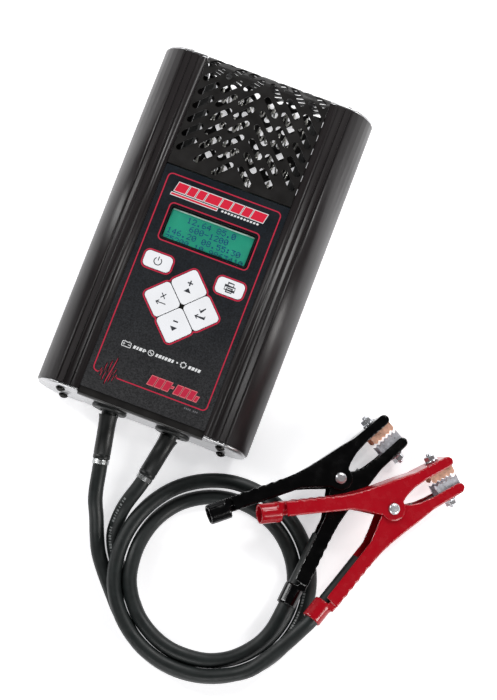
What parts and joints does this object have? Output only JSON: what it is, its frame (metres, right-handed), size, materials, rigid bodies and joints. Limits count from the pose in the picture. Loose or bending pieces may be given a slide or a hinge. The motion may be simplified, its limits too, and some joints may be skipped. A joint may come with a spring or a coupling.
{
  "type": "battery tester",
  "caption": "Hand-held battery tester with a display, keypad and vented load bay, and two coiled leads ending in spring clamps.",
  "frame": {"origin": "middle of the case's footprint, on the surface that its back rests on", "axes": "+Y along the case towards the vented end, +X to the right of the keypad, +Z out of the front panel"},
  "size_m": [0.2977, 0.4033, 0.0614],
  "materials": {
    "anodised_dark": "satin dark anodised extrusion",
    "powder_black": "fine satin powder coat",
    "overlay_navy": "fine textured polyester film",
    "end_silver": "clear anodised sheet",
    "key_white": "smooth white film over the key",
    "clear_window": "clear polished acrylic",
    "lcd_green": "green character display",
    "board_green": "solder mask",
    "dome_steel": "thin spring steel",
    "relay_black": "moulded case",
    "coil_wire": "resistance wire, drawn",
    "ceramic": "unglazed ceramic",
    "screw_black": "black oxide",
    "gland_rubber": "matt moulded rubber",
    "crimp_steel": "plated band",
    "cable_rubber": "matt rubber jacket",
    "clamp_black": "gloss dipped coat",
    "clamp_red": "gloss dipped coat",
    "copper": "copper plated steel",
    "zinc": "zinc plated steel",
    "rivet_steel": "bright plated",
    "spring_steel": "drawn wire",
    "wire_black": "insulated wire"
  },
  "bodies": {
    "case": {"back_panel": "powder_black", "black_cable_arm": "clamp_black", "black_cable_jaw_bolt": "zinc", "black_lead": "cable_rubber", "black_pivot_rivet": "rivet_steel", "black_sense_wire": "wire_black", "black_spring": "spring_steel", "black_zinc_jaw": "zinc", "bottom_end_plate": "end_silver", "bottom_left_back_screw": "screw_black", "bottom_left_front_screw": "screw_black", "bottom_right_back_screw": "screw_black", "bottom_right_front_screw": "screw_black", "bulkhead": "end_silver", "dome_sheet": "dome_steel", "front_panel": "powder_black", "keypad_board": "board_green", "lcd_module": "lcd_green", "lcd_window": "clear_window", "left_coil_support": "ceramic", "left_crimp_ring": "crimp_steel", "left_gland_flange": "gland_rubber", "left_lead_sleeve": "gland_rubber", "left_side_rail": "anodised_dark", "load_relay": "relay_black", "lower_load_coil": "coil_wire", "main_board": "board_green", "membrane_overlay": "overlay_navy", "red_cable_arm": "clamp_red", "red_cable_jaw_bolt": "zinc", "red_lead": "cable_rubber", "red_pivot_rivet": "rivet_steel", "red_sense_wire": "wire_black", "red_spring": "spring_steel", "red_zinc_jaw": "zinc", "right_coil_support": "ceramic", "right_crimp_ring": "crimp_steel", "right_gland_flange": "gland_rubber", "right_lead_sleeve": "gland_rubber", "right_side_rail": "anodised_dark", "top_left_back_screw": "screw_black", "top_left_end_cap": "powder_black", "top_left_front_screw": "screw_black", "top_right_back_screw": "screw_black", "top_right_end_cap": "powder_black", "top_right_front_screw": "screw_black", "upper_load_coil": "coil_wire", "vent_grille": "powder_black"},
    "key_down": {"key_down": "key_white"},
    "key_no": {"key_no": "key_white"},
    "key_power": {"key_power": "key_white"},
    "key_print": {"key_print": "key_white"},
    "key_up": {"key_up": "key_white"},
    "key_yes": {"key_yes": "key_white"},
    "black_clamp_arm": {"black_free_arm": "clamp_black", "black_copper_jaw": "copper", "black_free_jaw_bolt": "zinc"},
    "red_clamp_arm": {"red_free_arm": "clamp_red", "red_copper_jaw": "copper", "red_free_jaw_bolt": "zinc"}
  },
  "joints": [
    {"name": "key_down_press", "type": "slide", "parent": "case", "child": "key_down", "axis": [0, 0, -1], "range_m": [0, 0.0005], "stiffness_N_per_m": 900, "springref_m": -0.0004},
    {"name": "key_no_press", "type": "slide", "parent": "case", "child": "key_no", "axis": [0, 0, -1], "range_m": [0, 0.0005], "stiffness_N_per_m": 900, "springref_m": -0.0004},
    {"name": "key_power_press", "type": "slide", "parent": "case", "child": "key_power", "axis": [0, 0, -1], "range_m": [0, 0.0005], "stiffness_N_per_m": 900, "springref_m": -0.0004},
    {"name": "key_print_press", "type": "slide", "parent": "case", "child": "key_print", "axis": [0, 0, -1], "range_m": [0, 0.0005], "stiffness_N_per_m": 900, "springref_m": -0.0004},
    {"name": "key_up_press", "type": "slide", "parent": "case", "child": "key_up", "axis": [0, 0, -1], "range_m": [0, 0.0005], "stiffness_N_per_m": 900, "springref_m": -0.0004},
    {"name": "key_yes_press", "type": "slide", "parent": "case", "child": "key_yes", "axis": [0, 0, -1], "range_m": [0, 0.0005], "stiffness_N_per_m": 900, "springref_m": -0.0004},
    {"name": "black_clamp_hinge", "type": "hinge", "parent": "case", "child": "black_clamp_arm", "pos_m": [0.13852, -0.11312, 0.0173], "axis": [0.1979, 0.0438, 0.9792], "range_deg": [0, 25], "stiffness_Nm_per_rad": 2.5, "springref_deg": -34.38},
    {"name": "red_clamp_hinge", "type": "hinge", "parent": "case", "child": "red_clamp_arm", "pos_m": [0.17803, -0.1205, 0.02568], "axis": [0.3441, 0.0003, 0.9389], "range_deg": [0, 25], "stiffness_Nm_per_rad": 2.5, "springref_deg": -34.38}
  ]
}
